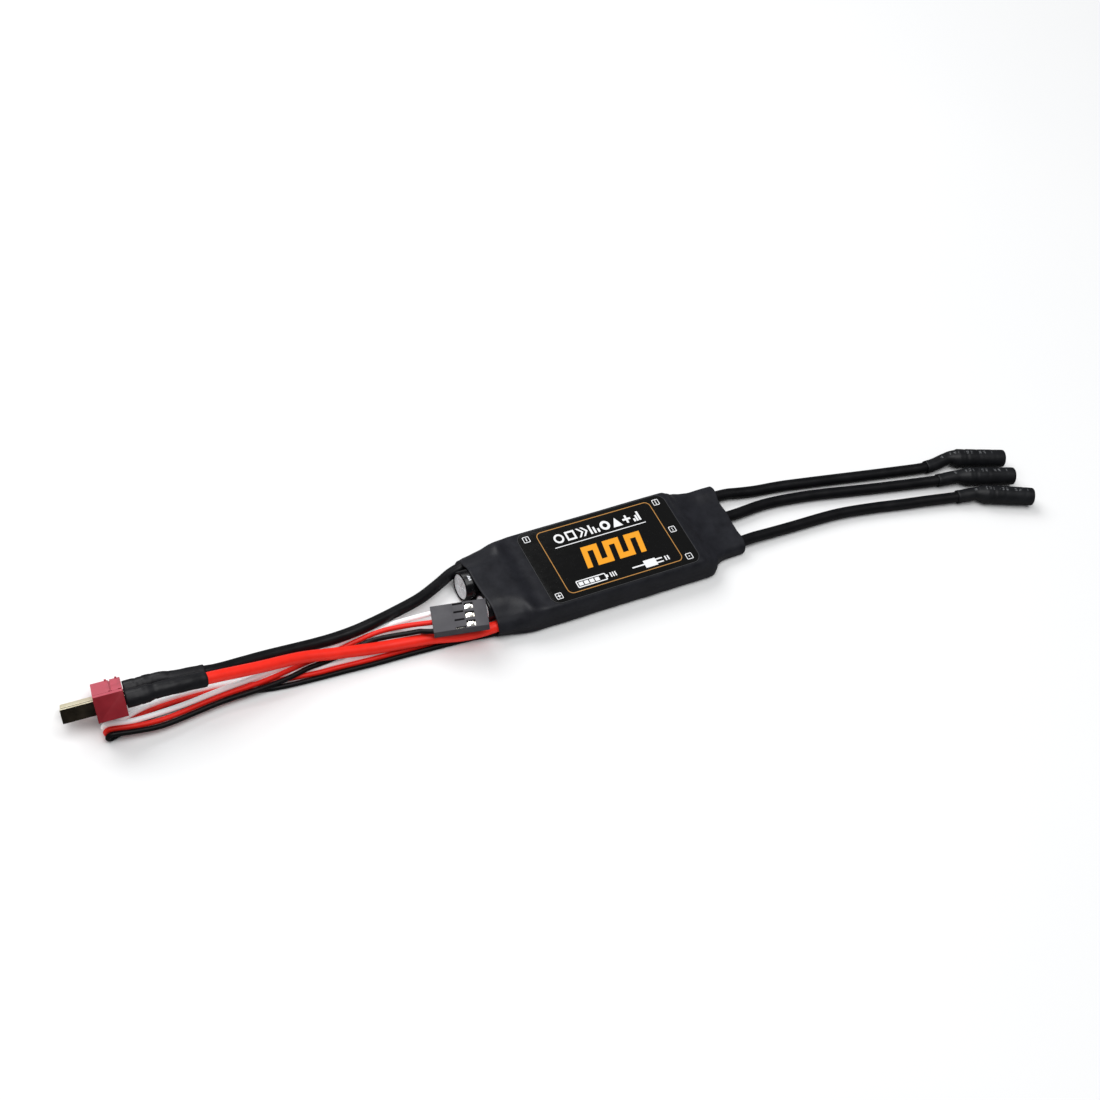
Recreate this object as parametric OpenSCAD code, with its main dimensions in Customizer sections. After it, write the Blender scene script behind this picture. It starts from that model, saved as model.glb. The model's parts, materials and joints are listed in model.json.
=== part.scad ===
// Electronic speed controller for a brushless motor: two stacked circuit boards under an aluminium
// plate in one shrink sleeve, with battery leads and a blade plug, three motor leads with bullet
// sockets, and a servo lead.
// Frame: origin on the underside at the middle of the label, +X towards the motor leads, +Z up, millimetres.

/* [Body] */
// Height of the flat top of the sleeve above the underside
body_height = 7.9; // [7.9:0.1:9]
// Wall of the shrink sleeve round the boards
sleeve_wall = 0.45; // [0.3:0.05:0.5]
// Widest point of the sleeve, from the middle
body_half_width = 13.2; // [13.1:0.1:14]
// Battery end of the sleeve
battery_mouth_x = -38.4; // [-39:0.1:-38]
// Motor end of the sleeve
motor_mouth_x = 39.4; // [38.5:0.1:40]

/* [Label] */
// Length of the label film
label_length = 45; // [40:0.5:46]
// Width of the label film
label_width = 23.2; // [20:0.2:23.4]
// Corner radius of the label film
label_corner = 2.6; // [1:0.1:4]
// Thickness of the label film
label_thickness = 0.12; // [0.08:0.01:0.2]

/* [Boards] */
// Length of the power board
power_board_length = 54.4; // [50:0.2:54.4]
// Width of both boards
board_width = 23.6; // [22:0.2:24]
// Thickness of the power board
power_board_thickness = 1; // [0.8:0.1:1]
// Thickness of the aluminium heat plate
heat_plate_thickness = 1.6; // [1.2:0.1:1.7]

/* [Capacitors] */
// Outer radius of a sleeved capacitor
capacitor_radius = 3.95; // [3.15:0.05:3.95]
// Length of a capacitor
capacitor_length = 9.5; // [8:0.5:9.5]

/* [Wires] */
// Outer radius of the battery and motor wires
power_wire_radius = 1.5; // [1.3:0.05:1.5]
// Radius of their bared and tinned ends
tinned_end_radius = 0.75; // [0.5:0.05:0.75]
// Outer radius of one servo wire
servo_wire_radius = 0.66; // [0.5:0.02:0.66]
// Sides of the drawn wires
wire_sides = 14; // [12:2:20]
// Drawn steps between two places that a wire passes through
wire_steps = 3; // [2:1:5]

/* [Bullet sockets] */
// Bore that takes the motor's bullet
bullet_bore_radius = 1.75; // [1.5:0.05:2]
// Depth of that bore
bullet_bore_depth = 9; // [6:0.5:9.5]
// Outer radius of the gold socket
bullet_radius = 2.25; // [2.15:0.05:2.25]
// Length of the gold socket
bullet_length = 14; // [13:0.5:14]

/* [Battery plug] */
// Length of the plug housing along the wires
plug_length = 7.1; // [6.5:0.1:8]
// Width of the plug housing across both blades
plug_width = 13.4; // [13:0.1:14]
// Height of the plug housing
plug_height = 6.3; // [6:0.1:7]
// How far the blades stand out of the housing
blade_reach = 7.9; // [6:0.1:9]
// Thickness of a blade
blade_thickness = 1.2; // [1:0.05:1.3]
// Width of a blade
blade_width = 3.5; // [3:0.1:4]

/* [Servo plug] */
// Length of the servo plug housing
servo_plug_length = 14; // [13:0.1:15]
// Width of the servo plug housing, three ways at 2.54 mm
servo_plug_width = 7.7; // [7.6:0.05:7.8]
// Height of the servo plug housing
servo_plug_height = 2.6; // [2.5:0.05:2.7]

/* [Hidden] */
$fn = 48;

black_shrink = [0.09, 0.09, 0.1];
red_silicone = [0.85, 0.12, 0.1];
white_jacket = [0.93, 0.93, 0.93];
gold = [0.83, 0.66, 0.3];
tin = [0.75, 0.76, 0.78];
board_green = [0.08, 0.3, 0.18];
chip_black = [0.06, 0.06, 0.07];

// Heights of the stack inside the sleeve
control_board_bottom = 1.1;
control_board_thickness = 0.8;
control_board_top = control_board_bottom + control_board_thickness;
power_board_bottom = 3.1;
power_board_top = power_board_bottom + power_board_thickness;
mosfet_height = 1;
heat_plate_top = body_height - sleeve_wall - 0.1;
heat_plate_bottom = heat_plate_top - heat_plate_thickness;
power_board_left = -27;
control_board_left = -24.3;
control_board_length = 43;

// The three motor wires, A to C, and the gap kept between a moving wire and its fixed root
motor_y = [-6.4, 2.2, 9.4];
motor_wire_z = 2.1;
motor_hinge_x = 44;
motor_hinge_z = 1.9;
hinge_gap = 0.12;
bullet_mouths = [[130.2, -20.3, 2.75], [129, -12.1, 2.75], [129.8, -5.6, 2.75]];
bullet_turns = [-21.5, -17.2, -17.8];
bullet_sleeve_starts = [108, 104.8, 105.2];
bullet_courses = [
    [
        [54.8, -6.3, 1.6], [70.6, -6.6, 1.6], [82, -8, 1.6], [91, -9.6, 1.6], [100.5, -11.3, 1.8],
        [108.5, -12.9, 2.1]
    ],
    [[54, 2.9, 1.6], [67.2, 1.45, 1.6], [85.7, -2.05, 1.6], [95, -3.8, 1.7], [106, -5.95, 2.1]],
    [
        [52.5, 7.9, 1.6], [62.6, 6.7, 1.6], [84.7, 2.9, 1.6], [97.8, 0.6, 1.7], [105.5, -0.75, 2],
        [110.6, -0.7, 2.3]
    ]
];
battery_hinge_x = -66;
battery_hinge_z = 2.95;
servo_hinge_x = -57.5;
servo_hinge_z = 5.05;
servo_plug_centre = [-47.3, -7, 7.8];
servo_plug_turn = [3, -14, -18];
servo_pitch = 2.54;
servo_slot_pitch = 2.3;
plug_corner = [-141.81, -6.97, 9.47];
plug_turn = [-44.3, -11, -8.7];
plug_bare_end = 5;
// Each wire is soldered against the side of its tab, this far from the tab's middle
solder_offset = blade_thickness / 2 + tinned_end_radius;
end_gap = 0.1;
positive_way = [3, plug_height / 2];
negative_way = [10.2, plug_height / 2];
capacitor_axis_z = power_board_top + 0.3;
capacitor_y = [3.65, -4.3];
capacitor_ends = [-41.4, -38.9];
capacitor_lead_end = -25;

// ---- vectors and smooth courses ----
function unit(v) = v / norm(v);
function turned(a, v) =
    let(
        x = [v.x, v.y * cos(a.x) - v.z * sin(a.x), v.y * sin(a.x) + v.z * cos(a.x)],
        y = [x.x * cos(a.y) + x.z * sin(a.y), x.y, x.z * cos(a.y) - x.x * sin(a.y)]
    )
    [y.x * cos(a.z) - y.y * sin(a.z), y.x * sin(a.z) + y.y * cos(a.z), y.z];
function plug_point(l, way, lift = 0) = plug_corner + turned(plug_turn, [l, way.x, way.y + lift]);
function servo_point(v) = servo_plug_centre + turned(servo_plug_turn, v);
function between(a, b, c, d, t) =
    b + 0.5 * t * (c - a + t * (2 * a - 5 * b + 4 * c - d + t * (3 * b - a - 3 * c + d)));
function course(p, steps = wire_steps) =
    let(
        last = len(p) - 1,
        q = concat([2 * p[0] - p[1]], p, [2 * p[last] - p[last - 1]])
    )
    [
        for (i = [0 : last - 1])
            for (k = [0 : steps - 1])
                between(q[i], q[i + 1], q[i + 2], q[i + 3], k / steps),
        p[last]
    ];
function direction(p, i) = unit(p[min(i + 1, len(p) - 1)] - p[max(i - 1, 0)]);
function ring(c, t, r, sides) =
    let(across = unit(cross([0, 1, 0], t)), side = cross(t, across))
    [for (k = [0 : sides - 1]) c + r * (cos(360 * k / sides) * across + sin(360 * k / sides) * side)];
function rings(p, r, sides) = [for (i = [0 : len(p) - 1]) ring(p[i], direction(p, i), r[i], sides)];
function backwards(v) = [for (i = [len(v) - 1 : -1 : 0]) v[i]];

// A closed skin over a row of rings: capped at both ends, or joined round into a tube wall
module skin(rows, joined = false) {
    sides = len(rows[0]);
    last = len(rows) - 1;
    polyhedron(
        points = [for (row = rows) each row],
        faces = concat(
            [
                for (j = [0 : joined ? last : last - 1])
                    for (i = [0 : sides - 1])
                        let(
                            a = j * sides + i,
                            b = j * sides + (i + 1) % sides,
                            d = (j + 1) % (last + 1) * sides + i,
                            c = (j + 1) % (last + 1) * sides + (i + 1) % sides
                        )
                        each [[a, d, c], [a, c, b]]
            ],
            joined ? [] : [
                [for (i = [0 : sides - 1]) i],
                [for (i = [sides - 1 : -1 : 0]) last * sides + i]
            ]
        )
    );
}
module wire(p, r, sides = wire_sides) skin(rings(p, [for (q = p) r], sides));
// The rounded end of a wire that turns about its first place
module domed_wire(p, r, sides = wire_sides) {
    t = unit(p[1] - p[0]);
    dome = [for (a = [20, 45, 70]) p[0] - t * r * cos(a)];
    dome_radii = [for (a = [20, 45, 70]) r * sin(a)];
    skin(concat(
        [for (i = [0 : 2]) ring(dome[i], t, dome_radii[i], sides)],
        rings(p, [for (q = p) r], sides)
    ));
}
module hollow_wire(p, outer, inner, sides = wire_sides + 4)
    skin(concat(rings(p, outer, sides), backwards(rings(p, inner, sides))), joined = true);
module aimed(from, to) {
    d = to - from;
    translate(from) rotate([0, acos(d.z / norm(d)), atan2(d.y, d.x)]) children();
}
module block(low, size)
    translate(low) cube(size);
module grid(xs, ys) for (x = xs) for (y = ys) translate([x, y, 0]) children();

// A run up to a hinge stops short of it by the wire's radius and a gap
function up_to_hinge(p, hinge, r) =
    let(
        kept = [for (q = p) if (norm(q - hinge) > r + hinge_gap) q],
        last = kept[len(kept) - 1]
    )
    concat(
        [for (q = kept) if (norm(q - last) > 0) q],
        [hinge + unit(last - hinge) * (r + hinge_gap)]
    );

// ---- courses of the wires ----
battery_y = 9.9;
battery_tip_z = power_board_top + tinned_end_radius;
negative_root = course([
    [-27.6, battery_y, battery_tip_z], [-29.4, battery_y, battery_tip_z], [-32, 9.92, 4.45],
    [-35.5, 9.95, 3.5], [-39.1, 9.65, 2.9], [-42, 8.8, 2.75], [-45.8, 7.1, 2.75], [-52.3, 4.6, 2.8],
    [-60.5, 2.8, 2.85], [battery_hinge_x, 1.75, battery_hinge_z]
]);
negative_run = course([
    [battery_hinge_x, 1.75, battery_hinge_z], [-71.5, 1, 2.9], [-77.4, 0.6, 2.95], [-84.1, 0.45, 3.4],
    [-97.2, 0.2, 5.05], [-109, -0.6, 6.9], [-113.5, -0.5, 7.6], [-121, -0.1, 8.3],
    plug_point(plug_length + plug_bare_end + 1.2, negative_way, solder_offset),
    plug_point(plug_length + plug_bare_end, negative_way, solder_offset)
]);
positive_root = course([
    [-27.6, -battery_y, battery_tip_z], [-29.4, -battery_y, battery_tip_z], [-32.5, -9.9, 4.45],
    [-37, -9.9, 3.5], [-42, -9.8, 3.15],
    [-47.3, -9.1, 2.95], [-54.1, -7.5, 2.9], [-60.5, -6.6, 2.9],
    [battery_hinge_x, -5.95, battery_hinge_z]
]);
positive_run = course([
    [battery_hinge_x, -5.95, battery_hinge_z], [-71, -5.4, 3.3], [-80, -4.4, 4.45], [-89.2, -3.5, 5.8],
    [-100.2, -4, 8], [-110.8, -4.2, 10], [-113.9, -4.25, 10.5], [-122, -4.2, 11.4],
    plug_point(plug_length + plug_bare_end + 1.2, positive_way + [solder_offset, 0]),
    plug_point(plug_length + plug_bare_end, positive_way + [solder_offset, 0])
]);
function motor_root(i) =
    course([[28, motor_y[i], motor_wire_z], [39, motor_y[i], motor_wire_z], motor_hinge(i)], 2);
function motor_hinge(i) = [motor_hinge_x, motor_y[i] + [0.25, 0.2, -0.1][i], motor_hinge_z];
function bullet_dir(i) = [cos(bullet_turns[i]), sin(bullet_turns[i]), 0];
function bullet_rear(i) = bullet_mouths[i] - bullet_length * bullet_dir(i);
function motor_run(i) = course(concat(
    [motor_hinge(i)], bullet_courses[i],
    [for (back = [3, 1.6, 0.3]) bullet_rear(i) - back * bullet_dir(i)]
));

// Servo wires leave the sleeve, run beside the battery leads to the blade plug, fold and come back
white_way = course([
    [-24.6, -7.8, 2.2], [-28.6, -8.1, 1.6], [-34, -7.9, 1.2], [-38, -7.75, 1.18], [-44, -6.8, 0.7],
    [-51, -6.35, 0.7],
    [-61, -5.85, 0.7], [-71, -5.5, 0.7], [-79.6, -4.95, 0.7], [-86, -4.6, 0.7], [-98, -2.8, 0.7],
    [-108.7, -1.4, 0.7],
    [-118.8, -0.8, 0.7], [-127, -1.1, 0.7], [-134, -2.6, 0.7], [-138, -3.7, 0.7], [-139.2, -3.95, 1.85],
    [-138, -4.1, 3], [-131.6, -4.9, 2.5], [-119.7, -4.5, 2.1], [-109.7, -3.6, 2.1], [-95, -2.7, 2.1],
    [-88, -1.9, 1.9],
    [-81, -0.8, 0.9], [-74, 0.45, 0.7], [-68, 0.7, 0.7], [-64.5, 0.35, 1.2], [-62.2, 0.1, 2.3],
    [-60, -0.6, 3.6],
    [servo_hinge_x, -1.5, servo_hinge_z]
]);
red_way = course([
    [-24.6, -9.2, 2.2], [-28.6, -9.5, 1.6], [-34, -9.3, 1.2], [-38, -9.15, 1.18], [-44, -8.2, 0.7],
    [-51, -7.75, 0.7],
    [-61, -7.25, 0.7], [-71, -6.9, 0.7], [-79.6, -6.35, 0.7], [-86, -6, 0.7], [-98, -4.4, 0.7],
    [-108, -2.85, 0.7],
    [-118, -2.3, 0.7], [-127, -2.6, 0.7], [-134, -4.1, 0.7], [-138, -5.2, 0.7], [-139.2, -5.45, 1.85],
    [-138, -5.6, 3], [-132, -6.4, 2.5], [-124.2, -6.6, 2.1], [-110.4, -5.2, 2.1], [-99.9, -4.8, 2.1],
    [-92.1, -3.9, 2.1], [-86, -3.1, 2.1], [-80, -2.2, 1.15], [-76, -1.4, 0.75], [-72.3, -1, 1.2],
    [-68.6, -1.05, 2.2],
    [-65, -1.5, 3.3], [-60.5, -2.6, 4.4], [servo_hinge_x, -3.5, servo_hinge_z]
]);
black_way = course([
    [-24.6, -10.6, 2.2], [-28.6, -10.9, 1.6], [-34, -10.7, 1.2], [-38, -10.55, 1.18], [-44, -9.6, 0.7],
    [-51, -9.15, 0.7], [-61, -8.65, 0.7], [-71, -8.3, 0.7], [-79.6, -7.8, 0.7], [-86, -7.5, 0.7],
    [-96, -6.7, 0.7],
    [-107, -4.7, 0.7], [-118, -3.8, 0.7], [-127, -4.1, 0.7], [-134, -5.6, 0.7], [-138, -6.7, 0.7],
    [-139.2, -6.95, 1.85], [-138, -7.1, 3], [-132, -7.9, 2.5], [-124.9, -8.2, 2.1], [-111, -6.8, 2.1],
    [-100.6, -6.5, 2.1], [-93, -5.9, 2.1], [-87.2, -4.9, 2.1], [-80.6, -4.4, 2.1], [-76, -3.3, 1.5],
    [-72, -2.6, 1.4], [-69.2, -2.6, 2], [-65.9, -3.4, 3.2], [-61, -4.9, 4.5],
    [servo_hinge_x, -5.7, servo_hinge_z]
]);
// Tail of a servo wire, from the hinge into its way in the plug
function tail(y_hinge, way) = course([
    [servo_hinge_x, y_hinge, servo_hinge_z],
    servo_point([-servo_plug_length / 2 - 0.6, way * servo_pitch, 0]),
    servo_point([-servo_plug_length / 2 + 1.5, way * servo_pitch, 0])
]);

// ---- the sleeve: rounded sections along X ----
// Each section: x, low y, high y, top z, and how far the top corners round in y and z
sleeve_sections = [
    [battery_mouth_x, -12.5, 12.4, 8.95, 8.3, 6.1],
    [-35, -12.8, 12.8, 9, 8, 6.1],
    [-31, -13, 13, 8.95, 6.5, 5.6],
    [-29, -13.1, 13.1, 8.85, 4.2, 5],
    [-26, -body_half_width, body_half_width, body_height, 2.2, 4.4],
    [-23.6, -body_half_width, body_half_width, body_height, 1.7, 4.8],
    [0, -body_half_width, body_half_width, body_height, 1.7, 4.8],
    [23.8, -body_half_width, body_half_width, body_height, 1.7, 4.8],
    [25.2, -body_half_width, body_half_width, 6.6, 1.9, 3.2],
    [27.6, -12.9, 13.1, 5.2, 2, 2],
    [30.2, -10.4, 12.7, 4.6, 1.9, 1.8],
    [33, -9.6, 12.3, 4.3, 1.9, 1.8],
    [motor_mouth_x, -9.4, 12.2, 4.2, 1.9, 1.8]
];
corner_steps = 5;
bottom_round = 1;
mouth_skew = 0.05;
function corner(cy, cz, ry, rz, from) =
    [for (a = [from : 90 / corner_steps : from + 90.01]) [cy + ry * cos(a), cz + rz * sin(a)]];
function section(s, inset) =
    let(
        low = s[1] + inset,
        high = s[2] - inset,
        top = s[3] - inset,
        ry = s[4] - inset,
        rz = s[5] - inset,
        rb = bottom_round - inset,
        outline = concat(
            corner(high - ry, top - rz, ry, rz, 0), corner(low + ry, top - rz, ry, rz, 90),
            corner(low + rb, inset + rb, rb, rb, 180), corner(high - rb, inset + rb, rb, rb, 270)
        )
    )
    [for (q = outline) [s[0] - (s[0] < -30 ? mouth_skew * q.x : 0), q.x, q.y]];

module heat_shrink_sleeve() color(black_shrink) skin(concat(
    [for (s = sleeve_sections) section(s, 0)],
    backwards([for (s = sleeve_sections) section(s, sleeve_wall)])
), joined = true);

module label_film() color([0.05, 0.05, 0.05]) translate([0, 0, body_height]) linear_extrude(label_thickness)
    difference() {
        square([label_length, label_width], center = true);
        for (sx = [-1, 1]) for (sy = [-1, 1]) scale([sx, sy]) difference() {
            translate([label_length / 2 - label_corner, label_width / 2 - label_corner])
                square(label_corner + 1);
            translate([label_length / 2 - label_corner, label_width / 2 - label_corner]) circle(label_corner);
        }
    }

// ---- boards and what they carry ----
mosfet_top = power_board_top + mosfet_height;
module heat_plate() color([0.78, 0.79, 0.8])
    block([-23, -11.1, heat_plate_bottom], [46, 22.2, heat_plate_thickness]);
module thermal_pad() color([0.6, 0.68, 0.75])
    block([-21.5, -10, mosfet_top], [43, 20, heat_plate_bottom - mosfet_top]);
module power_board() color(board_green) block(
    [power_board_left, -board_width / 2, power_board_bottom],
    [power_board_length, board_width, power_board_thickness]
);
module control_board() color(board_green) block(
    [control_board_left, -board_width / 2 + 0.4, control_board_bottom],
    [control_board_length, board_width - 0.8, control_board_thickness]
);
module board_pins() color(gold) grid([-16 : servo_pitch : 4], [-10.6, 10.6])
    translate([0, 0, control_board_top]) cylinder(r = 0.32, h = power_board_bottom - control_board_top);
module mosfets() color(chip_black) grid([-17.5 : 7 : 17.5], [-5.6, 5.6]) translate([0, 0, power_board_top]) {
    block([-2.5, -3, 0], [5, 6, mosfet_height]);
    for (y = [-1.9 : 1.27 : 2]) block([-3.1, y - 0.2, 0], [6.2, 0.4, 0.25]);
}
module microcontroller() color(chip_black) block([-9, -2.5, control_board_bottom - 0.55], [5, 5, 0.55]);
module gate_drivers() color(chip_black) grid([-2, 5, 12], [4])
    block([-2, -2.5, control_board_top], [4, 5, 0.9]);
module voltage_regulators() color(chip_black) grid([-20, -13], [-4.4])
    block([-2.6, -1.8, control_board_top], [5.2, 3.6, 1.05]);
module resonator() color([0.75, 0.7, 0.45]) block([-8, 5, control_board_top], [3.2, 1.6, 0.9]);
module ceramic_capacitors() color([0.62, 0.5, 0.36]) grid([-4 : 3.2 : 16], [-6.4, -3.6])
    block([-1, -0.62, control_board_top], [2, 1.24, 0.85]);
module resistors() color(chip_black) grid([-21 : 2.6 : -10], [1.2, 3.6])
    block([-0.4, -0.8, control_board_top], [0.8, 1.6, 0.45]);
module solder_pad(x, y, z, height, axis_z) difference() {
    block([x, y - 1.4, z], [4.2, 2.8, height]);
    translate([x - 1, y, axis_z]) rotate([0, 90, 0]) cylinder(r = tinned_end_radius, h = 7);
}
module solder_joints() color(tin) {
    for (y = [-battery_y, battery_y]) solder_pad(-26.8, y, power_board_top, 0.55, battery_tip_z);
    for (y = motor_y) solder_pad(22.8, y, power_board_bottom - 0.9, 0.9, motor_wire_z);
}
module battery_wire_ends() color(tin) for (y = [-battery_y, battery_y])
    translate([-27.6 + end_gap, y, battery_tip_z]) rotate([0, 90, 0])
        cylinder(r = tinned_end_radius, h = 4.6);
module motor_wire_ends() color(tin) for (y = motor_y)
    translate([23.2, y, motor_wire_z]) rotate([0, 90, 0]) cylinder(r = tinned_end_radius, h = 4.8);
module servo_wire_ends() color(tin) for (y = [-7.8, -9.2, -10.6])
    translate([-24.6, y, control_board_top + 0.3]) rotate([0, 90, 0]) cylinder(r = 0.3, h = 2.4);

// ---- capacitors, lying with their tops out of the battery mouth ----
capacitor_skin = 0.15;
module lying(i)
    translate([capacitor_ends[i], capacitor_y[i], capacitor_axis_z]) rotate([0, 90, 0]) children();
module capacitor_cans() color(tin) for (i = [0, 1]) lying(i) difference() {
    translate([0, 0, 0.15]) cylinder(r = capacitor_radius - capacitor_skin, h = capacitor_length - 1.65);
    for (a = [0, 60, 120]) rotate([0, 0, a]) block([-2.6, -0.12, 0], [5.2, 0.24, 0.3]);
}
module capacitor_sleeves() color([0.05, 0.05, 0.06]) for (i = [0, 1]) lying(i) difference() {
    cylinder(r = capacitor_radius, h = capacitor_length);
    translate([0, 0, -1]) cylinder(r = capacitor_radius - 0.75, h = 3);
    translate([0, 0, 0.15]) cylinder(r = capacitor_radius - capacitor_skin, h = capacitor_length);
}
module capacitor_bungs() color([0.15, 0.15, 0.15]) for (i = [0, 1]) lying(i)
    translate([0, 0, capacitor_length - 1.5]) cylinder(r = capacitor_radius - capacitor_skin, h = 1.2);
module capacitor_leads() color(tin) for (i = [0, 1]) lying(i) for (y = [-1.75, 1.75])
    translate([0, y, capacitor_length - 0.3])
        cylinder(r = 0.3, h = capacitor_lead_end - capacitor_ends[i] - capacitor_length);

// ---- battery leads ----
module negative_wire_root() color(black_shrink)
    wire(up_to_hinge(negative_root, negative_run[0], power_wire_radius), power_wire_radius);
module positive_wire_root() color(red_silicone)
    wire(up_to_hinge(positive_root, positive_run[0], power_wire_radius), power_wire_radius);
module negative_wire() color(black_shrink) domed_wire(negative_run, power_wire_radius);
module positive_wire() color(red_silicone) domed_wire(positive_run, power_wire_radius);
// The shrink over a soldered plug tab follows the wire and widens over the tab
module plug_sleeve(run, start, over_tab) {
    p = concat([for (q = run) if (q.x < start) q], over_tab);
    last_on_wire = len(p) - 3;
    steps = [0 : len(p) - 1];
    hollow_wire(
        p,
        [for (i = steps) i > last_on_wire ? 2.15 : i == last_on_wire ? 1.95 : 1.85],
        [for (i = steps) i > last_on_wire ? 1.85 : i == last_on_wire ? 1.65 : 1.56]
    );
}
module negative_plug_sleeve() color(black_shrink)
    plug_sleeve(negative_run, -112, [for (l = [4.3, 0.4]) plug_point(plug_length + l, negative_way, 0.65)]);
module positive_plug_sleeve() color(black_shrink)
    plug_sleeve(
        positive_run, -113.9,
        [for (l = [4.3, 0.4]) plug_point(plug_length + l, positive_way + [0.65, 0])]
    );
module plug_frame() translate(plug_corner) rotate(plug_turn) children();
// Blade through the housing, with a narrower tab behind it for the wire
module positive_bar() {
    block([-blade_reach, positive_way.x - blade_thickness / 2, positive_way.y - blade_width / 2],
          [blade_reach + plug_length, blade_thickness, blade_width]);
    block([plug_length, positive_way.x - blade_thickness / 2, positive_way.y - 1.2],
          [4.2, blade_thickness, 2.4]);
}
module negative_bar() {
    block([-blade_reach, negative_way.x - blade_width / 2, negative_way.y - blade_thickness / 2],
          [blade_reach + plug_length, blade_width, blade_thickness]);
    block([plug_length, negative_way.x - 1.2, negative_way.y - blade_thickness / 2],
          [4.2, 2.4, blade_thickness]);
}
module positive_blade() color(gold) plug_frame() positive_bar();
module negative_blade() color(gold) plug_frame() negative_bar();
module battery_plug_housing() color([0.62, 0.1, 0.15]) plug_frame() difference() {
    union() {
        block([0, 0, 0], [plug_length, plug_width, plug_height]);
        for (l = [3.4, 5.9]) block([l, plug_width - 0.7, plug_height], [0.5, 0.7, 0.35]);
    }
    block([4.3, 2.4, plug_height - 0.35], [0.3, plug_width, 1]);
    for (l = [3.9, 6.1]) block([l, 2.2, plug_height - 0.8], [0.8, 0.8, 1]);
    block([0.3, 2, plug_height - 0.15], [plug_length - 0.6, 0.2, 1]);
    block([0.3, -1, -1], [plug_length - 0.6, 1.1, 1.1]);
    positive_bar();
    negative_bar();
}
module plug_wire_ends() color(tin) plug_frame()
    for (way = [positive_way + [solder_offset, 0], negative_way + [0, solder_offset]])
        translate([plug_length + 0.8, way.x, way.y]) rotate([0, 90, 0])
            cylinder(r = tinned_end_radius, h = plug_bare_end - 0.8 - end_gap);

// ---- motor leads ----
module motor_wire_roots() color(black_shrink) for (i = [0 : 2])
    wire(up_to_hinge(motor_root(i), motor_hinge(i), power_wire_radius), power_wire_radius);
module motor_wire(i) color(black_shrink) domed_wire(motor_run(i), power_wire_radius);
module bullet_wire_end(i) color(tin)
    aimed(bullet_rear(i) - (0.3 - end_gap) * bullet_dir(i), bullet_mouths[i])
        cylinder(r = tinned_end_radius, h = 4);
module bullet_socket(i) color(gold) aimed(bullet_rear(i), bullet_mouths[i]) difference() {
    cylinder(r = bullet_radius, h = bullet_length);
    translate([0, 0, bullet_length - bullet_bore_depth])
        cylinder(r = bullet_bore_radius, h = bullet_bore_depth + 1);
    translate([0, 0, -1]) cylinder(r = 1.3, h = 5);
}
module bullet_sleeve(i) color(black_shrink) {
    covered = [for (q = motor_run(i)) if (q.x > bullet_sleeve_starts[i]) q];
    p = concat(covered, [bullet_rear(i) + 0.4 * bullet_dir(i), bullet_mouths[i] + 0.2 * bullet_dir(i)]);
    n = len(p) - 1;
    hollow_wire(p, [for (k = [0 : n]) k < n - 2 ? 1.85 : 2.7], [for (k = [0 : n]) k < n - 2 ? 1.56 : 2.33]);
}
module motor_wire_a() motor_wire(0);
module motor_wire_b() motor_wire(1);
module motor_wire_c() motor_wire(2);
module bullet_wire_end_a() bullet_wire_end(0);
module bullet_wire_end_b() bullet_wire_end(1);
module bullet_wire_end_c() bullet_wire_end(2);
module bullet_socket_a() bullet_socket(0);
module bullet_socket_b() bullet_socket(1);
module bullet_socket_c() bullet_socket(2);
module bullet_sleeve_a() bullet_sleeve(0);
module bullet_sleeve_b() bullet_sleeve(1);
module bullet_sleeve_c() bullet_sleeve(2);

// ---- servo lead ----
servo_sides = 10;
module servo_wire(p) wire(up_to_hinge(p, p[len(p) - 1], servo_wire_radius), servo_wire_radius, servo_sides);
module servo_wire_white() color(white_jacket) servo_wire(white_way);
module servo_wire_red() color(red_silicone) servo_wire(red_way);
module servo_wire_black() color(black_shrink) servo_wire(black_way);
module servo_tail_white() color(white_jacket)
    domed_wire(tail(white_way[len(white_way) - 1].y, 1), servo_wire_radius, servo_sides);
module servo_tail_red() color(red_silicone)
    domed_wire(tail(red_way[len(red_way) - 1].y, 0), servo_wire_radius, servo_sides);
module servo_tail_black() color(black_shrink)
    domed_wire(tail(black_way[len(black_way) - 1].y, -1), servo_wire_radius, servo_sides);
module servo_frame() translate(servo_plug_centre) rotate(servo_plug_turn) children();
module servo_plug_housing() color([0.3, 0.29, 0.3]) servo_frame() difference() {
    block([-servo_plug_length / 2, -servo_plug_width / 2, -servo_plug_height / 2],
          [servo_plug_length, servo_plug_width, servo_plug_height]);
    for (way = [-1 : 1]) {
        block([-servo_plug_length / 2 - 1, way * servo_pitch - 0.85, -0.8],
              [servo_plug_length + 2, 1.7, 1.6]);
        block([1.5, way * servo_pitch - 0.85, 0], [2.2, 1.7, 2]);
    }
    for (edge = [-1.5 : 1 : 1.5])
        block([-1.4, edge * servo_slot_pitch - 0.25, abs(edge) < 1 ? 0 : 0.4], [2.5, 0.5, 2]);
}
module servo_contacts() color(gold) servo_frame() for (way = [-1 : 1])
    translate([0, way * servo_pitch, 0]) {
    difference() {
        block([-2.4, -0.7, -0.7], [9, 1.4, 1.4]);
        block([-0.4, -0.5, -0.5], [8, 1, 1]);
    }
    block([1.9, -0.6, 0.7], [1.4, 1.2, 0.25]);
}

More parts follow.
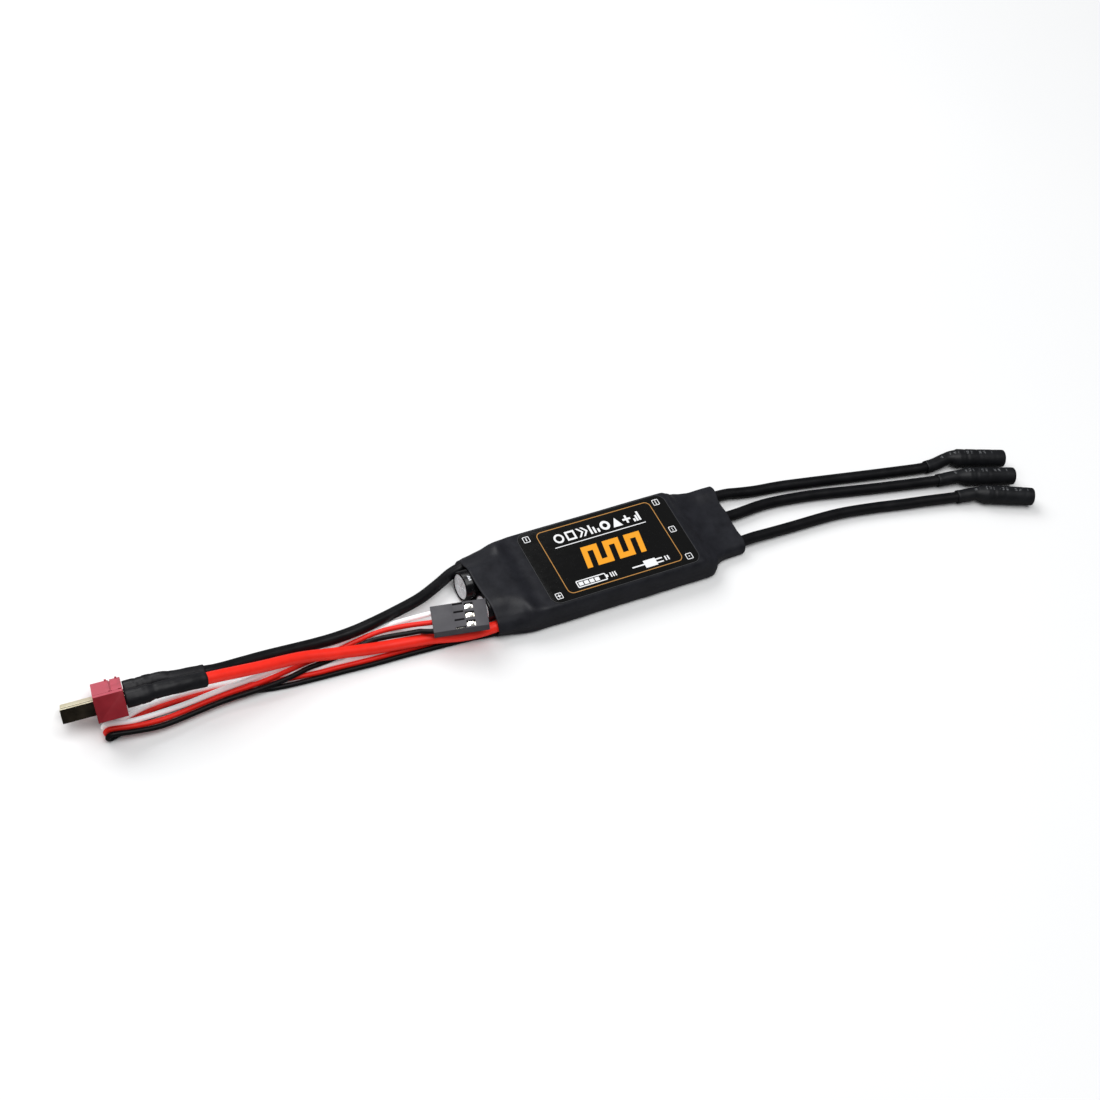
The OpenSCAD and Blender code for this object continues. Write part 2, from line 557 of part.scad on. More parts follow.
heat_shrink_sleeve();
label_film();
heat_plate();
thermal_pad();
power_board();
control_board();
board_pins();
mosfets();
microcontroller();
gate_drivers();
voltage_regulators();
resonator();
ceramic_capacitors();
resistors();
solder_joints();
capacitor_cans();
capacitor_sleeves();
capacitor_bungs();
capacitor_leads();
negative_wire_root();
positive_wire_root();
battery_wire_ends();
negative_wire();
positive_wire();
battery_plug_housing();
positive_blade();
negative_blade();
plug_wire_ends();
negative_plug_sleeve();
positive_plug_sleeve();
motor_wire_roots();
motor_wire_ends();
motor_wire_a();
motor_wire_b();
motor_wire_c();
bullet_wire_end_a();
bullet_wire_end_b();
bullet_wire_end_c();
bullet_socket_a();
bullet_socket_b();
bullet_socket_c();
bullet_sleeve_a();
bullet_sleeve_b();
bullet_sleeve_c();
servo_wire_white();
servo_wire_red();
servo_wire_black();
servo_wire_ends();
servo_tail_white();
servo_tail_red();
servo_tail_black();
servo_plug_housing();
servo_contacts();
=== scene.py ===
"""Looks of a small electronic speed controller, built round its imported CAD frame."""

import json
import math
import random

import bpy
import numpy as np
from mathutils import Matrix, Vector, noise


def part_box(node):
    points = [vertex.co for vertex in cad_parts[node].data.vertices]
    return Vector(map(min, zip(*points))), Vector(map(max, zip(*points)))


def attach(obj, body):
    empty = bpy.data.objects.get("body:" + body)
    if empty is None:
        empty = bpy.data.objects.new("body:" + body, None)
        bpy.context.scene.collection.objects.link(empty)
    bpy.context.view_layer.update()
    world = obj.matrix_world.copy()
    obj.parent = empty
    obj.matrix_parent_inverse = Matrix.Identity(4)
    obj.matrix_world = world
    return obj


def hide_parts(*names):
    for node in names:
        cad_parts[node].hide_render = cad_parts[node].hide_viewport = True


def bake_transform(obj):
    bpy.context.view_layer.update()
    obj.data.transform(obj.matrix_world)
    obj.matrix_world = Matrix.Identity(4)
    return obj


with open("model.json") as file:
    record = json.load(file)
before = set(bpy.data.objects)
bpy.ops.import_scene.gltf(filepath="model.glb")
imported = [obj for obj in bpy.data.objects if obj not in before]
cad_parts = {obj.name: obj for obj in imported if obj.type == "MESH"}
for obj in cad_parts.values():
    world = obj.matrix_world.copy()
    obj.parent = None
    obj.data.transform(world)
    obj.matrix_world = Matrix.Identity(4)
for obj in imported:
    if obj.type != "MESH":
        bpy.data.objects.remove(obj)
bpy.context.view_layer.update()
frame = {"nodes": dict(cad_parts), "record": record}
nodes = frame["nodes"]
MM = 0.001
random.seed(7)

# ------------------------------------------------------------------ reading the frame


def welded(obj):
    """The points of a CAD node, each once, and its triangles by those points."""
    index, points, triangles = {}, [], []
    mesh = obj.data
    for polygon in mesh.polygons:
        corners = []
        for v in polygon.vertices:
            key = tuple(round(x / 1e-6) for x in mesh.vertices[v].co)
            if key not in index:
                index[key] = len(points)
                points.append(mesh.vertices[v].co[:])
            corners.append(index[key])
        for i in range(1, len(corners) - 1):
            triangles.append((corners[0], corners[i], corners[i + 1]))
    return np.array(points), np.array(triangles)


def courses(node, sides):
    """The ring centres and radii of each swept solid in a CAD node, from one capped end to the other."""
    points, triangles = welded(nodes[node])
    near = [set() for _ in points]
    for triangle in triangles:
        for a in triangle:
            near[a].update(triangle)
    a, b, c = (points[triangles[:, k]] for k in range(3))
    normal = np.cross(b - a, c - a)
    normal /= np.linalg.norm(normal, axis=1)[:, None]
    middle = (a + b + c) / 3
    found, used = [], set()
    for i in range(len(triangles)):
        level = abs((middle - middle[i]) @ normal[i]) < 2e-6
        flat = np.nonzero((np.abs(normal - normal[i]).max(1) < 0.01) & level)[0]
        ring = set(triangles[flat].ravel().tolist())
        reach = np.linalg.norm(points[list(ring)] - points[list(ring)].mean(0), axis=1)
        if len(ring) != sides or len(flat) != sides - 2 or ring & used or reach.std() > 0.02 * reach.mean():
            continue
        rows = [ring]
        seen = set(ring)
        while rows[-1]:
            step = set().union(*(near[v] for v in rows[-1])) - seen
            seen |= step
            rows.append(step)
        used |= seen
        centres = [points[list(row)].mean(0) for row in rows[:-1]]
        radii = [np.linalg.norm(points[list(row)] - m, axis=1).mean() for row, m in zip(rows, centres)]
        if abs(centres[0][0]) > abs(centres[-1][0]):
            centres.reverse()
            radii.reverse()
        found.append((np.array(centres), np.array(radii)))
    return found


def full_part(course):
    """A course without the small rings of a rounded end."""
    centres, radii = course
    keep = radii > 0.97 * radii.max()
    return centres[keep], float(radii.max())


def smooth(points, step):
    """An evenly spaced curve through points."""
    p = np.array(points, float)
    q = np.vstack([2 * p[0] - p[1], p, 2 * p[-1] - p[-2]])
    dense = []
    for i in range(len(p) - 1):
        a, b, c, d = q[i : i + 4]
        for t in np.linspace(0, 1, 12, endpoint=False):
            dense.append(0.5 * (2 * b + (c - a) * t + (2 * a - 5 * b + 4 * c - d) * t**2
                                + (3 * b - a - 3 * c + d) * t**3))
    dense = np.array(dense + [p[-1]])
    run = np.concatenate([[0], np.cumsum(np.linalg.norm(np.diff(dense, axis=0), axis=1))])
    at = np.linspace(0, run[-1], max(2, round(run[-1] / step)) + 1)
    return np.stack([np.interp(at, run, dense[:, k]) for k in range(3)], axis=1)


# ------------------------------------------------------------------ making meshes


def add_mesh(name, vertices, faces, flat_faces=()):
    mesh = bpy.data.meshes.new(name)
    mesh.from_pydata([tuple(v) for v in vertices], [], [tuple(f) for f in faces])
    mesh.validate()
    for polygon in mesh.polygons:
        polygon.use_smooth = True
    if flat_faces:
        sharp = mesh.attributes.new("sharp_edge", "BOOLEAN", "EDGE")
        rim = set()
        for i in flat_faces:
            ring = faces[i]
            rim |= {frozenset((ring[k], ring[k - 1])) for k in range(len(ring))}
        for edge in mesh.edges:
            if frozenset(edge.vertices) in rim:
                sharp.data[edge.index].value = True
    obj = bpy.data.objects.new(name, mesh)
    bpy.context.scene.collection.objects.link(obj)
    return obj


def frames_along(path):
    """A pair of side directions for each point of a path, turning as little as they can."""
    tangents = np.gradient(path, axis=0)
    tangents /= np.linalg.norm(tangents, axis=1)[:, None]
    side = np.cross(tangents[0], (0.0, 0.0, 1.0))
    side /= np.linalg.norm(side)
    sides, ups = [], []
    for t in tangents:
        side = side - t * side.dot(t)
        side /= np.linalg.norm(side)
        sides.append(side)
        ups.append(np.cross(side, t))
    return tangents, np.array(sides), np.array(ups)


def tube(name, path, radius, count=24, wall=None):
    """A round tube along a path. radius is a number or a function of (share along, angle, distance along).
    With a wall it is hollow and open at both ends."""
    _, sides, ups = frames_along(path)
    run = np.concatenate([[0], np.cumsum(np.linalg.norm(np.diff(path, axis=0), axis=1))])
    rings = len(path)

    def shell(inset):
        out = []
        for i in range(rings):
            for k in range(count):
                a = math.tau * k / count
                r = radius(run[i] / run[-1], a, run[i]) if callable(radius) else radius
                out.append(path[i] + (r - inset) * (math.cos(a) * sides[i] + math.sin(a) * ups[i]))
        return out

    vertices = shell(0)
    faces, flat = [], []
    for i in range(rings - 1):
        for k in range(count):
            a, b = i * count + k, i * count + (k + 1) % count
            faces.append((a, b, b + count, a + count))
    if wall:
        start = len(vertices)
        vertices += shell(wall)
        outer = len(faces)
        for f in range(outer):
            faces.append(tuple(start + v for v in reversed(faces[f])))
        for k in range(count):
            a, b = k, (k + 1) % count
            c, d = (rings - 1) * count + k, (rings - 1) * count + (k + 1) % count
            faces.append((b, a, start + a, start + b))
            faces.append((c, d, start + d, start + c))
    else:
        flat = [len(faces), len(faces) + 1]
        faces.append(tuple(reversed(range(count))))
        faces.append(tuple(range((rings - 1) * count, rings * count)))
    obj = add_mesh(name, vertices, faces, flat)
    along = obj.data.attributes.new("along", "FLOAT", "POINT")
    around = obj.data.attributes.new("around", "FLOAT", "POINT")
    for i in range(len(vertices)):
        ring, k = divmod(i % (rings * count), count)
        along.data[i].value = run[ring]
        around.data[i].value = 0.5 - abs(0.5 - k / count)
    return obj


def lathe(name, profile, place, axis, count=48):
    """A closed profile of (distance along, radius) pairs turned about an axis; radius 0 closes an end."""
    axis = Vector(axis).normalized()
    side = axis.cross(Vector((0, 0, 1))).normalized()
    up = axis.cross(side)
    place = Vector(place)
    vertices, faces, rows = [], [], []
    for along, radius in profile:
        along, radius = float(along), float(radius)
        if radius == 0:
            rows.append([len(vertices)] * count)
            vertices.append(place + axis * along)
            continue
        rows.append(list(range(len(vertices), len(vertices) + count)))
        for k in range(count):
            a = math.tau * k / count
            vertices.append(place + axis * along + radius * (side * math.cos(a) + up * math.sin(a)))
    pairs = list(zip(rows, rows[1:]))
    if profile[0][1] and profile[-1][1]:
        pairs.append((rows[-1], rows[0]))
    for low, high in pairs:
        for k in range(count):
            face = []
            for v in (low[k], high[k], high[(k + 1) % count], low[(k + 1) % count]):
                if v not in face:
                    face.append(v)
            if len(face) > 2:
                faces.append(face)
    return add_mesh(name, vertices, faces)


def plate(name, outlines, z_low, z_high):
    """Thin solids from closed outlines of (x, y) points, each without holes."""
    vertices, faces = [], []
    for outline in outlines:
        n, start = len(outline), len(vertices)
        vertices += [(x, y, z_low) for x, y in outline] + [(x, y, z_high) for x, y in outline]
        faces.append([start + n + k for k in range(n)])
        faces.append([start + k for k in reversed(range(n))])
        faces += [[start + k, start + (k + 1) % n, start + n + (k + 1) % n, start + n + k] for k in range(n)]
    obj = add_mesh(name, vertices, faces)
    for polygon in obj.data.polygons:
        polygon.use_smooth = False
    return obj


def bevelled(node, width, segments=2, angle=35):
    """Rounds the corners of a CAD node with modifiers, which leave its own mesh alone."""
    obj = nodes[node]
    weld = obj.modifiers.new("weld", "WELD")
    weld.merge_threshold = 1e-6
    flat = obj.modifiers.new("flat", "DECIMATE")
    flat.decimate_type = "DISSOLVE"
    flat.angle_limit = math.radians(1)
    bevel = obj.modifiers.new("bevel", "BEVEL")
    bevel.width = width
    bevel.segments = segments
    bevel.limit_method = "ANGLE"
    bevel.angle_limit = math.radians(angle)
    bevel.harden_normals = True
    for polygon in obj.data.polygons:
        polygon.use_smooth = True
    return obj


# ------------------------------------------------------------------ materials


class Graph:
    """A short way to write a material's node tree."""

    def __init__(self, name):
        self.material = bpy.data.materials.new(name)
        self.material.use_nodes = True
        self.tree = self.material.node_tree
        self.tree.nodes.clear()
        self.output = self.tree.nodes.new("ShaderNodeOutputMaterial")
        self.coordinates = self.tree.nodes.new("ShaderNodeTexCoord").outputs["Object"]

    def link(self, value, socket):
        if isinstance(value, bpy.types.NodeSocket):
            self.tree.links.new(value, socket)
        elif value is not None:
            if socket.type == "RGBA" and len(value) == 3:
                value = (*value, 1)
            socket.default_value = value

    def node(self, kind, settings=None, **inputs):
        made = self.tree.nodes.new("ShaderNode" + kind)
        for key, value in (settings or {}).items():
            setattr(made, key, value)
        for key, value in inputs.items():
            key = key.replace("_", " ")
            socket = made.inputs[int(key[1:])] if key[0] == "i" and key[1:].isdigit() else made.inputs[key]
            self.link(value, socket)
        return made

    def math(self, operation, a, b=None, clamp=False):
        return self.node("Math", {"operation": operation, "use_clamp": clamp}, i0=a, i1=b).outputs[0]

    def noise(self, scale, detail=3, roughness=0.5, stretch=None):
        where = self.coordinates
        if stretch:
            where = self.node("Mapping", i0=where, i3=stretch).outputs[0]
        return self.node("TexNoise", Vector=where, Scale=scale, Detail=detail, Roughness=roughness).outputs["Fac"]

    def cells(self, scale, feature="F1"):
        return self.node("TexVoronoi", {"feature": feature}, Vector=self.coordinates, Scale=scale).outputs[0]

    def ramp(self, value, low, high, to_low=0.0, to_high=1.0):
        made = self.node("MapRange", {"clamp": True}, i0=value, i1=low, i2=high, i3=to_low, i4=to_high)
        return made.outputs[0]

    def mix(self, share, a, b):
        made = self.node("Mix", {"data_type": "RGBA"})
        self.link(share, made.inputs[0])
        self.link(a, made.inputs[6])
        self.link(b, made.inputs[7])
        return made.outputs[2]

    def bump(self, height, strength, distance, normal=None):
        return self.node("Bump", Height=height, Strength=strength, Distance=distance, Normal=normal).outputs[0]

    def facing_back(self):
        """1 on faces that look to +Y in the object's own frame, 0 on those that look to -Y."""
        normal = self.node("NewGeometry").outputs["True Normal"]
        own = self.node("VectorTransform", {"vector_type": "NORMAL", "convert_from": "WORLD",
                                            "convert_to": "OBJECT"}, i0=normal).outputs[0]
        return self.ramp(self.node("SeparateXYZ", i0=own).outputs[1], -0.2, 0.3)

    def attribute(self, name):
        return self.node("Attribute", {"attribute_name": name}).outputs["Fac"]

    def finish(self, **inputs):
        principled = self.node("BsdfPrincipled", **inputs)
        self.tree.links.new(principled.outputs[0], self.output.inputs[0])
        return self.material


def moulded(name, colour, rough, mottle=0.15, grain=0.06, grain_scale=5000, dent=0.0, dent_scale=350,
            specular=0.5, scatter=0.0, dust=0.0, painted_glow=0.0, painted_lit_back=None):
    """Plastic, rubber or shrink: colour that wanders, a fine skin grain, and soft dents; optionally dust, a painted
    glow, and a painted lighter tone on faces turned to +Y.
    """
    g = Graph(name)
    wander = g.noise(260, 4, 0.6)
    fine = g.noise(grain_scale, 2)
    darker = [c * (1 - mottle) for c in colour]
    lighter = [min(1, c * (1 + mottle)) for c in colour]
    tone = g.mix(g.ramp(wander, 0.3, 0.7), darker, lighter)
    # painted light: faces turned to +Y get a lighter tone, standing in for the light that falls on them
    if painted_lit_back:
        tone = g.mix(g.math("MULTIPLY", g.facing_back(), g.ramp(wander, 0.25, 0.7, 0.75, 1.0)), tone, painted_lit_back)
    if dust:
        specks = g.ramp(g.noise(9000, 1), 0.70, 0.78)
        patches = g.ramp(g.noise(90, 3), 0.45, 0.75)
        tone = g.mix(g.math("MULTIPLY", g.math("MULTIPLY", specks, patches), dust), tone, (0.5, 0.5, 0.5))
    roughness = g.math("ADD", g.ramp(wander, 0.25, 0.75, rough - 0.06, rough + 0.07),
                       g.ramp(fine, 0.3, 0.7, -0.03, 0.03))
    normal = g.bump(fine, grain, 0.03 * MM)
    if dent:
        normal = g.bump(g.noise(dent_scale, 3, 0.45), dent, 0.5 * MM, normal)
    # painted light: a glow strength makes the surface emit its own tone, which lifts it out of its shade
    return g.finish(Base_Color=tone, Roughness=roughness, Normal=normal, Specular_IOR_Level=specular,
                    Emission_Color=tone, Emission_Strength=painted_glow,
                    Subsurface_Weight=scatter, Subsurface_Radius=(0.6 * MM, 0.3 * MM, 0.3 * MM),
                    Subsurface_Scale=1.0)


def metal(name, colour, rough, brushed=None, tarnish=None, pitting=0.05, metallic=1.0, painted_dark_front=None):
    """Plated or bare metal with fine drawing lines and darker, duller patches; optionally painted shade on faces
    turned to -Y.
    """
    g = Graph(name)
    lines = g.noise(900, 3, 0.6, stretch=brushed or (1, 1, 1))
    patches = g.noise(300, 4, 0.6)
    tone = g.mix(g.ramp(patches, 0.4, 0.75), colour, tarnish or [c * 0.7 for c in colour])
    # painted shade: faces turned to -Y get a near-black tone, standing in for the dark reflection there
    if painted_dark_front:
        shade = g.mix(g.ramp(patches, 0.4, 0.75), painted_dark_front, [c * 2.5 for c in painted_dark_front])
        tone = g.mix(g.facing_back(), shade, tone)
    roughness = g.math("ADD", g.ramp(lines, 0.3, 0.7, rough - 0.05, rough + 0.08),
                       g.ramp(patches, 0.45, 0.8, 0.0, 0.15))
    normal = g.bump(lines, pitting, 0.04 * MM)
    return g.finish(Base_Color=tone, Metallic=metallic, Roughness=roughness, Normal=normal)


def printed_tube(name, colour, rough, ink, start, end, specular=0.5, ink_colour=(0.45, 0.46, 0.48)):
    """Shrink or jacket with a row of worn tick marks between two distances along it."""
    g = Graph(name)
    along, around = g.attribute("along"), g.attribute("around")
    wander = g.noise(300, 4, 0.6)
    fine = g.noise(6000, 2)
    beat = g.math("FRACT", g.math("MULTIPLY", along, 1 / (1.3 * MM)))
    ticks = g.math("LESS_THAN", beat, 0.55)
    gaps = g.math("GREATER_THAN", g.math("SINE", g.math("MULTIPLY", along, 1500.0)), -0.35)
    band = g.math("MULTIPLY", g.math("GREATER_THAN", around, 0.235), g.math("LESS_THAN", around, 0.30))
    where = g.math("MULTIPLY", g.math("GREATER_THAN", along, start), g.math("LESS_THAN", along, end))
    worn = g.ramp(g.noise(2600, 2), 0.42, 0.6)
    mark = g.math("MULTIPLY", g.math("MULTIPLY", ticks, gaps), g.math("MULTIPLY", band, where))
    mark = g.math("MULTIPLY", g.math("MULTIPLY", mark, worn), ink)
    tone = g.mix(g.ramp(wander, 0.3, 0.7), [c * 0.8 for c in colour], [c * 1.3 for c in colour])
    tone = g.mix(mark, tone, ink_colour)
    roughness = g.ramp(wander, 0.25, 0.75, rough - 0.07, rough + 0.08)
    creases = g.noise(420, 4, 0.55, stretch=(0.5, 1.2, 1.2))
    normal = g.bump(creases, 0.5, 0.25 * MM, g.bump(fine, 0.08, 0.03 * MM))
    return g.finish(Base_Color=tone, Roughness=roughness, Normal=normal, Specular_IOR_Level=specular)


def board_material(name):
    """Green solder mask with faint copper lands under it."""
    g = Graph(name)
    lands = g.ramp(g.cells(420, "DISTANCE_TO_EDGE"), 0.02, 0.06)
    tone = g.mix(lands, (0.05, 0.19, 0.1), (0.02, 0.1, 0.055))
    weave = g.noise(4200, 2)
    return g.finish(Base_Color=tone, Roughness=g.ramp(weave, 0.3, 0.7, 0.28, 0.4),
                    Normal=g.bump(lands, 0.3, 0.05 * MM, g.bump(weave, 0.05, 0.03 * MM)), Coat_Weight=0.3)


def film_material(name, colour, rough):
    """Printed film: glossy, with hairline scratches and a faint ripple where it lies over the sleeve."""
    g = Graph(name)
    ripple = g.noise(110, 3, 0.5)
    hair = g.noise(900, 3, 0.6, stretch=(0.5, 1, 1))
    specks = g.ramp(g.noise(5200, 1), 0.74, 0.8)
    tone = g.mix(g.math("MULTIPLY", specks, 0.25), colour, [min(1, c + 0.25) for c in colour])
    roughness = g.math("ADD", g.ramp(hair, 0.35, 0.7, rough - 0.03, rough + 0.05), g.math("MULTIPLY", specks, 0.2))
    normal = g.bump(ripple, 0.2, 0.2 * MM, g.bump(hair, 0.02, 0.02 * MM))
    return g.finish(Base_Color=tone, Roughness=roughness, Normal=normal, Specular_IOR_Level=0.35)


sleeve_skin = moulded("sleeve_shrink", (0.014, 0.0145, 0.0185), 0.42, 0.25, 0.10, 4200, 0.35, 170,
                      specular=0.25, dust=0.05)
black_silicone = moulded("black_silicone", (0.005, 0.005, 0.006), 0.34, 0.25, 0.06, 5200, 0.12, 260,
                         specular=0.25, dust=0.05)
red_silicone = moulded("red_silicone", (0.90, 0.022, 0.010), 0.40, 0.08, 0.05, 5200, 0.12, 260, specular=0.3)
# the white jacket glows a little: painted light that lifts its strands where they lie in shade
white_jacket = moulded("white_jacket", (0.94, 0.94, 0.95), 0.38, 0.03, 0.05, 6000, 0.08, 300, scatter=0.15,
                       painted_glow=0.16)
red_jacket = moulded("red_jacket", (0.86, 0.020, 0.011), 0.38, 0.08, 0.05, 6000, 0.08, 300, specular=0.25)
black_jacket = moulded("black_jacket", (0.004, 0.004, 0.0045), 0.36, 0.25, 0.06, 6000, 0.08, 300, specular=0.18,
                       dust=0.04)
# the plug's faces turned to +Y are painted lighter: a painted highlight where the light falls
plug_nylon = moulded("plug_nylon", (0.24, 0.010, 0.018), 0.42, 0.12, 0.12, 2600, 0.10, 500, specular=0.35,
                     scatter=0.04, painted_lit_back=(0.60, 0.10, 0.14))
servo_nylon = moulded("servo_nylon", (0.055, 0.053, 0.061), 0.50, 0.15, 0.14, 3000, 0.05, 500, specular=0.4)
end_shrink = printed_tube("end_shrink", (0.008, 0.0085, 0.010), 0.46, 0.30, 5 * MM, 21 * MM, 0.25)
plug_shrink = printed_tube("plug_shrink", (0.008, 0.008, 0.010), 0.46, 0.0, 0, 0, 0.25)
capacitor_skin = printed_tube("capacitor_sleeve", (0.004, 0.004, 0.005), 0.22, 1.0, 0.9 * MM, 8.2 * MM, 0.3,
                              (0.80, 0.82, 0.86))
film = film_material("label", (0.006, 0.006, 0.006), 0.22)
orange_ink = film_material("orange_ink", (0.88, 0.36, 0.022), 0.34)
border_ink = film_material("border_ink", (0.50, 0.25, 0.07), 0.34)
white_ink = film_material("white_ink", (0.86, 0.87, 0.88), 0.34)
# a painted highlight colour for the film's cut edge
painted_edge_highlight = film_material("film_edge_highlight", (0.055, 0.056, 0.060), 0.30)
gold = metal("gold", (0.80, 0.58, 0.22), 0.24, (1, 3, 3), (0.45, 0.28, 0.09))
# the blades' faces turned to -Y are painted near black: painted shade for their dark near faces
blade_gold = metal("blade_gold", (0.90, 0.84, 0.62), 0.30, (0.2, 3, 3), (0.70, 0.60, 0.38), metallic=0.35,
                   painted_dark_front=(0.012, 0.009, 0.005))
contact_metal = metal("contact_metal", (0.95, 0.93, 0.88), 0.2, (1, 3, 3), (0.8, 0.74, 0.6))
tin = metal("tin", (0.72, 0.73, 0.75), 0.32)
can_metal = metal("can", (0.92, 0.93, 0.95), 0.30, (1, 1, 4), (0.82, 0.83, 0.85), metallic=0.15)
plate_metal = metal("heat_plate", (0.80, 0.81, 0.82), 0.34, (0.1, 3, 3))
resonator_metal = metal("resonator", (0.72, 0.68, 0.48), 0.3)
board = board_material("circuit_board")
chip = moulded("chip", (0.018, 0.018, 0.02), 0.55, 0.2, 0.2, 3200)
ceramic = moulded("ceramic", (0.52, 0.40, 0.27), 0.4, 0.15, 0.1, 3000)
gap_pad = moulded("thermal_pad", (0.36, 0.44, 0.55), 0.7, 0.1, 0.2, 1800)
bung_rubber = moulded("bung", (0.03, 0.03, 0.03), 0.7, 0.2, 0.2, 2600)


def paint(obj, material):
    obj.data.materials.clear()
    obj.data.materials.append(material)
    return obj


# ------------------------------------------------------------------ the shrink sleeve
# Its CAD sections are read back as rings of outer points, and a closer loft is laid over them.
MOUTH_SKEW = 0.05
SKEWED_BEFORE = -30 * MM
SLEEVE_WALL = 0.45 * MM
SLEEVE_STEP = 0.55 * MM
BROW_IN_CAD = 23.8 * MM
BROW_DRAWN_BACK = 0.9 * MM


def straightened(p):
    return p[0] + (MOUTH_SKEW * p[1] if p[0] < SKEWED_BEFORE else 0)


def hull(points):
    """Convex outline of (y, z) points, anticlockwise."""
    points = sorted(set(points))

    def half(row):
        out = []
        for p in row:
            while len(out) > 1 and ((out[-1][0] - out[-2][0]) * (p[1] - out[-2][1])
                                    - (out[-1][1] - out[-2][1]) * (p[0] - out[-2][0])) <= 1e-13:
                out.pop()
            out.append(p)
        return out[:-1]

    return half(points) + half(reversed(points))


def resampled_loop(loop, count):
    """count points round a closed (y, z) outline, from the middle of its underside."""
    p = np.array(loop)
    low = p[:, 1] < 1e-5
    start = np.array([p[low, 0].mean(), 0.0])
    order = np.argsort((np.arctan2(p[:, 1] - 3 * MM, p[:, 0] - start[0]) + math.pi / 2) % math.tau)
    p = np.vstack([start, p[order], start])
    run = np.concatenate([[0], np.cumsum(np.linalg.norm(np.diff(p, axis=0), axis=1))])
    at = np.linspace(0, run[-1], count, endpoint=False)
    return np.stack([np.interp(at, run, p[:, k]) for k in range(2)], axis=1)


def sleeve_rings(count):
    points, _ = welded(nodes["heat_shrink_sleeve"])
    places = np.array([straightened(p) for p in points])
    stations = sorted(set(np.round(places, 5)))
    rings = []
    for x in stations:
        near = points[abs(places - x) < 0.05 * MM]
        rings.append(resampled_loop(hull([(p[1], p[2]) for p in near]), count))
    return np.array(stations), np.array(rings)


def eased(x, low, high):
    t = min(1.0, max(0.0, (x - low) / (high - low)))
    return t * t * (3 - 2 * t)


def rise(y, centre, half):
    """A soft bump, 1 at its centre and 0 from half its width on."""
    t = min(1.0, abs(y - centre) / half)
    return (1 - t * t) ** 2


motor_courses = sorted(courses("motor_wire_roots", 14), key=lambda c: c[0][0][1])
motor_exit_y = [c[0][-1][1] for c in motor_courses]


def sleeve_shape(x, y, z, top_z, half_width, first_x, last_x):
    """Where the heat has drawn the sleeve in or left it wavy, as a shift of (x, y, z)."""
    dx = dy = dz = 0.0
    height = z / top_z
    if height > 0.25:
        wave = noise.noise(Vector((x * 130, y * 90, 1.7))) * 0.10 * MM
        away = 1 - rise(x, 0.5 * MM, 24.5 * MM) ** 0.25 if abs(x) < 24 * MM else 1
        dz += wave * away * min(1, (height - 0.25) * 2)
    # the tail sags a little between the motor leads and stands up at its far corner
    tail = eased(x, 29 * MM, 38 * MM)
    if tail and height > 0.5:
        over = max(rise(y, w, 2.6 * MM) for w in motor_exit_y)
        dz += tail * MM * (0.85 * eased(y, 6 * MM, 10.5 * MM) - 0.15 * (1 - over))
    # the mouth on the motor side is cut a little unevenly
    if x > last_x - 0.8 * MM:
        dx += 0.15 * MM * (max(rise(y, w, 2.4 * MM) for w in motor_exit_y) - 0.5) + 0.012 * y
    # the long lower edges keep a wavy pinch
    if 0.1 < height < 0.5 and abs(y) > half_width - 1.2 * MM:
        ripple = noise.noise(Vector((x * 95, 3.1, 0.4))) + 0.5 * noise.noise(Vector((x * 330, 8.2, 0.4)))
        dy += math.copysign(ripple * 0.16 * MM, y)
    # folds where the sleeve falls from the flat top to the motor side
    fall = rise(x, 26.2 * MM, 3.2 * MM)
    if fall and height > 0.4:
        dz += 0.16 * MM * fall * math.sin(y * 900 + 2 * math.sin(x * 700))
    # the mouth on the battery side leans over to the far side, bows out and waves
    lean = 1 - eased(x, first_x + 3 * MM, first_x + 11.5 * MM)
    if lean:
        dz -= lean * z * (0.30 * eased(y, 4.5 * MM, 10.5 * MM) + 0.12 * eased(-y, 5 * MM, 10 * MM))
        low_corner = eased(-y, 9 * MM, 12.5 * MM) * (1 - eased(z, 1 * MM, 5 * MM))
        dy += 0.6 * MM * lean * low_corner
        dz += 1.0 * MM * (1 - eased(x, first_x, first_x + 8 * MM)) * low_corner
        crease = 2.3 * MM + 0.35 * MM * math.sin(x * 900)
        if y < -11 * MM:
            dy += 0.22 * MM * math.exp(-(((z - crease) / (0.4 * MM)) ** 2)) * rise(x, -31 * MM, 7.5 * MM)
    mouth = 1 - eased(x, first_x, first_x + 4 * MM)
    if mouth:
        dz += mouth * height * 0.12 * MM * math.sin(y * 420 + 0.6)
        dx += mouth * MM * (0.9 * eased(y, 4 * MM, 11 * MM) - 0.6 * (1 - (y / (10 * MM)) ** 2))
        dx += mouth * 0.2 * MM * math.sin(y * 310 + z * 500)
    return dx, dy, dz


